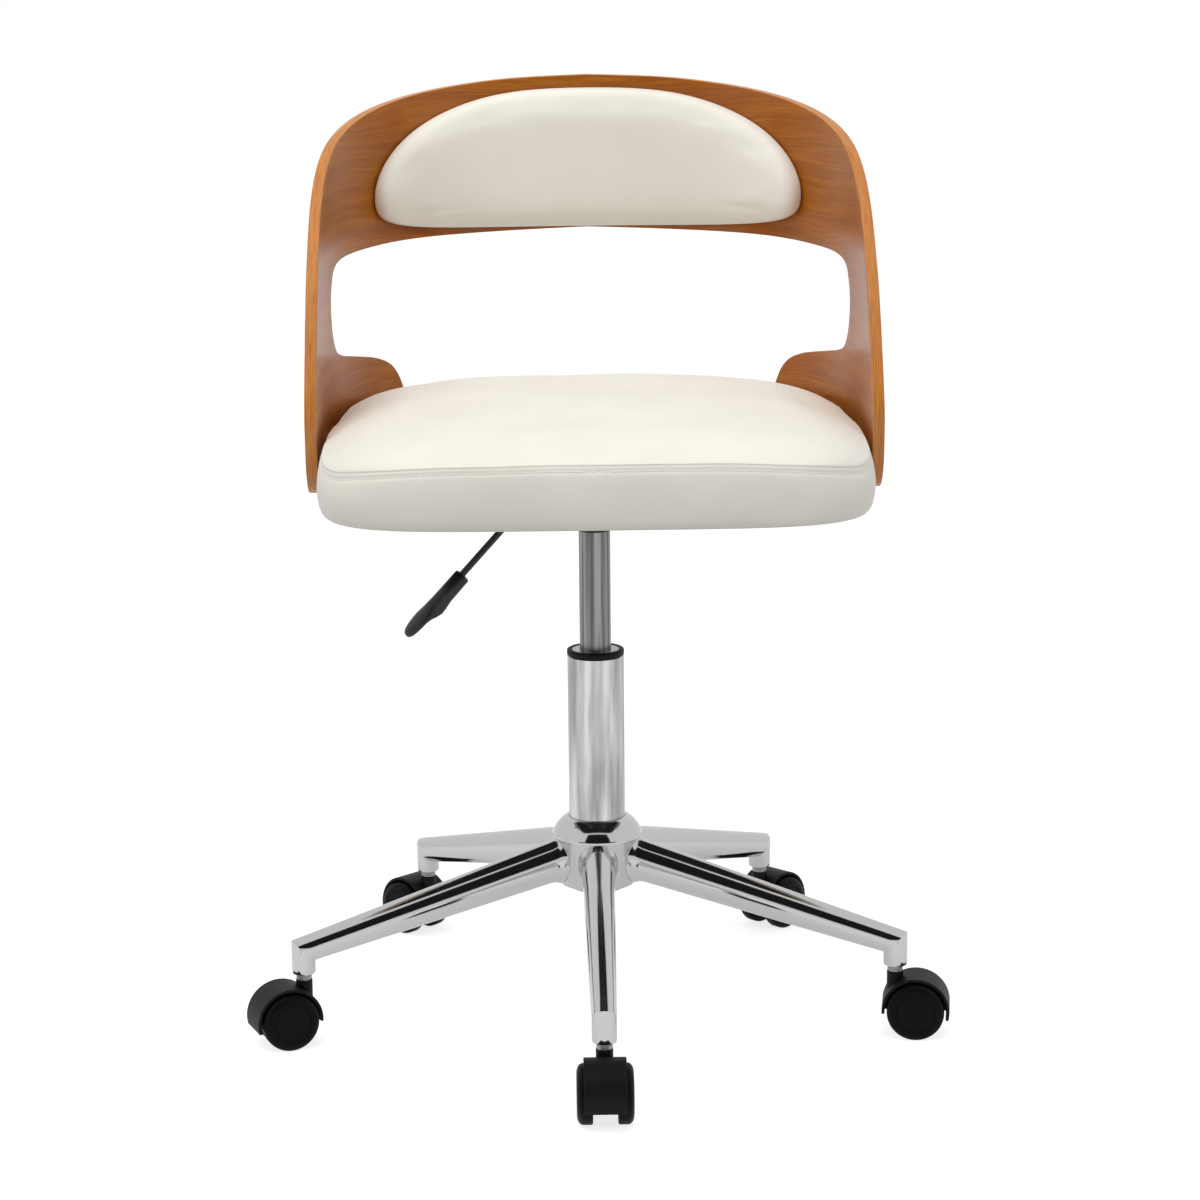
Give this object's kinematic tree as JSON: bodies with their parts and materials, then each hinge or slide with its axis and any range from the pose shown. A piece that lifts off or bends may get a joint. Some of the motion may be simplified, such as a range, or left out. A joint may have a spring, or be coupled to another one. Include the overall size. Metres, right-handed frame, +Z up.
{
  "type": "office chair",
  "caption": "Swivel office chair with a bent plywood back that wraps round a padded seat, a gas lift with a hand lever, and a polished star base on twin-wheel casters.",
  "frame": {"origin": "on the floor, under the middle of the chair's bounding box", "axes": "+Z up; the sitter faces -Y, with the sitter's right hand and the lever at -X"},
  "size_m": [0.616, 0.5842, 0.8161],
  "materials": {
    "chrome": "polished",
    "brushed_steel": "brushed",
    "zinc_steel": "zinc plated",
    "black_steel": "satin black powder coat",
    "black_plastic": "satin moulded",
    "wheel_plastic": "satin moulded",
    "faux_leather": "cream coated fabric with a fine leather grain",
    "walnut_ply": "satin lacquer over a reddish brown veneer",
    "plain_ply": "raw plywood",
    "dust_cloth": "black non-woven cloth"
  },
  "bodies": {
    "base": {"base_hub": "chrome", "leg_front": "chrome", "leg_left_front": "chrome", "leg_left_rear": "chrome", "leg_right_rear": "chrome", "leg_right_front": "chrome", "outer_tube": "chrome", "guide_bush": "black_plastic", "guide_washer": "brushed_steel", "thrust_bearing": "zinc_steel", "caster_stem_front": "zinc_steel", "caster_stem_left_front": "zinc_steel", "caster_stem_left_rear": "zinc_steel", "caster_stem_right_rear": "zinc_steel", "caster_stem_right_front": "zinc_steel"},
    "lift_rod": {"piston_rod": "zinc_steel", "retaining_clip": "zinc_steel"},
    "seat": {"pressure_tube": "brushed_steel", "taper_cup": "black_steel", "mechanism_housing": "black_steel", "mechanism_plate": "black_steel", "plate_screw_1": "zinc_steel", "plate_screw_2": "zinc_steel", "plate_screw_3": "zinc_steel", "plate_screw_4": "zinc_steel", "lever_bush": "black_plastic", "dust_cover": "dust_cloth", "seat_board": "plain_ply", "seat_cushion": "faux_leather", "back_shell": "walnut_ply", "back_pad": "faux_leather", "shell_bolt_1": "zinc_steel", "shell_bolt_2": "zinc_steel", "shell_bolt_3": "zinc_steel", "shell_bolt_4": "zinc_steel"},
    "lever": {"lever_rod": "black_steel", "lever_handle": "black_plastic"},
    "button": {"valve_button": "zinc_steel"},
    "caster_front": {"caster_hood_front": "black_plastic", "caster_axle_front": "zinc_steel"},
    "wheel_a_front": {"wheel_a_front": "wheel_plastic"},
    "wheel_b_front": {"wheel_b_front": "wheel_plastic"},
    "caster_left_front": {"caster_hood_left_front": "black_plastic", "caster_axle_left_front": "zinc_steel"},
    "wheel_a_left_front": {"wheel_a_left_front": "wheel_plastic"},
    "wheel_b_left_front": {"wheel_b_left_front": "wheel_plastic"},
    "caster_left_rear": {"caster_hood_left_rear": "black_plastic", "caster_axle_left_rear": "zinc_steel"},
    "wheel_a_left_rear": {"wheel_a_left_rear": "wheel_plastic"},
    "wheel_b_left_rear": {"wheel_b_left_rear": "wheel_plastic"},
    "caster_right_rear": {"caster_hood_right_rear": "black_plastic", "caster_axle_right_rear": "zinc_steel"},
    "wheel_a_right_rear": {"wheel_a_right_rear": "wheel_plastic"},
    "wheel_b_right_rear": {"wheel_b_right_rear": "wheel_plastic"},
    "caster_right_front": {"caster_hood_right_front": "black_plastic", "caster_axle_right_front": "zinc_steel"},
    "wheel_a_right_front": {"wheel_a_right_front": "wheel_plastic"},
    "wheel_b_right_front": {"wheel_b_right_front": "wheel_plastic"}
  },
  "joints": [
    {"name": "seat_swivel", "type": "hinge", "parent": "base", "child": "lift_rod", "pos_m": [0, 0.0262, 0.12159], "axis": [0, 0, 1], "continuous": true},
    {"name": "seat_height", "type": "slide", "parent": "lift_rod", "child": "seat", "axis": [0, 0, 1], "range_m": [-0.095, 0]},
    {"name": "lever_tip", "type": "hinge", "parent": "seat", "child": "lever", "pos_m": [-0.04075, 0.0262, 0.46559], "axis": [0, 1, 0], "range_deg": [0, 6], "stiffness_Nm_per_rad": 1.5, "springref_deg": -5.73},
    {"name": "valve_press", "type": "slide", "parent": "seat", "child": "button", "axis": [0, 0, -1], "range_m": [0, 0.0048]},
    {"name": "caster_swivel_front", "type": "hinge", "parent": "base", "child": "caster_front", "pos_m": [0, -0.2448, 0.05689], "axis": [0, 0, 1], "continuous": true},
    {"name": "wheel_roll_a_front", "type": "hinge", "parent": "caster_front", "child": "wheel_a_front", "pos_m": [0, -0.2631, 0.02469], "axis": [1, 0, 0], "continuous": true},
    {"name": "wheel_roll_b_front", "type": "hinge", "parent": "caster_front", "child": "wheel_b_front", "pos_m": [0, -0.2631, 0.02469], "axis": [1, 0, 0], "continuous": true},
    {"name": "caster_swivel_left_front", "type": "hinge", "parent": "base", "child": "caster_left_front", "pos_m": [0.25774, -0.05755, 0.05689], "axis": [0, 0, 1], "continuous": true},
    {"name": "wheel_roll_a_left_front", "type": "hinge", "parent": "caster_left_front", "child": "wheel_a_left_front", "pos_m": [0.27588, -0.05994, 0.02469], "axis": [0.1305, 0.9914, 0], "continuous": true},
    {"name": "wheel_roll_b_left_front", "type": "hinge", "parent": "caster_left_front", "child": "wheel_b_left_front", "pos_m": [0.27588, -0.05994, 0.02469], "axis": [0.1305, 0.9914, 0], "continuous": true},
    {"name": "caster_swivel_left_rear", "type": "hinge", "parent": "base", "child": "caster_left_rear", "pos_m": [0.15929, 0.24544, 0.05689], "axis": [0, 0, 1], "continuous": true},
    {"name": "wheel_roll_a_left_rear", "type": "hinge", "parent": "caster_left_rear", "child": "wheel_a_left_rear", "pos_m": [0.17223, 0.25838, 0.02469], "axis": [-0.7071, 0.7071, 0], "continuous": true},
    {"name": "wheel_roll_b_left_rear", "type": "hinge", "parent": "caster_left_rear", "child": "wheel_b_left_rear", "pos_m": [0.17223, 0.25838, 0.02469], "axis": [-0.7071, 0.7071, 0], "continuous": true},
    {"name": "caster_swivel_right_rear", "type": "hinge", "parent": "base", "child": "caster_right_rear", "pos_m": [-0.15929, 0.24544, 0.05689], "axis": [0, 0, 1], "continuous": true},
    {"name": "wheel_roll_a_right_rear", "type": "hinge", "parent": "caster_right_rear", "child": "wheel_a_right_rear", "pos_m": [-0.17223, 0.25838, 0.02469], "axis": [-0.7071, -0.7071, 0], "continuous": true},
    {"name": "wheel_roll_b_right_rear", "type": "hinge", "parent": "caster_right_rear", "child": "wheel_b_right_rear", "pos_m": [-0.17223, 0.25838, 0.02469], "axis": [-0.7071, -0.7071, 0], "continuous": true},
    {"name": "caster_swivel_right_front", "type": "hinge", "parent": "base", "child": "caster_right_front", "pos_m": [-0.25774, -0.05755, 0.05689], "axis": [0, 0, 1], "continuous": true},
    {"name": "wheel_roll_a_right_front", "type": "hinge", "parent": "caster_right_front", "child": "wheel_a_right_front", "pos_m": [-0.2747, -0.0644, 0.02469], "axis": [0.3746, -0.9272, 0], "continuous": true},
    {"name": "wheel_roll_b_right_front", "type": "hinge", "parent": "caster_right_front", "child": "wheel_b_right_front", "pos_m": [-0.2747, -0.0644, 0.02469], "axis": [0.3746, -0.9272, 0], "continuous": true}
  ],
  "couplings": [
    {"joint": "valve_press", "follows": "lever_tip", "m_per_rad": 0.0425}
  ]
}
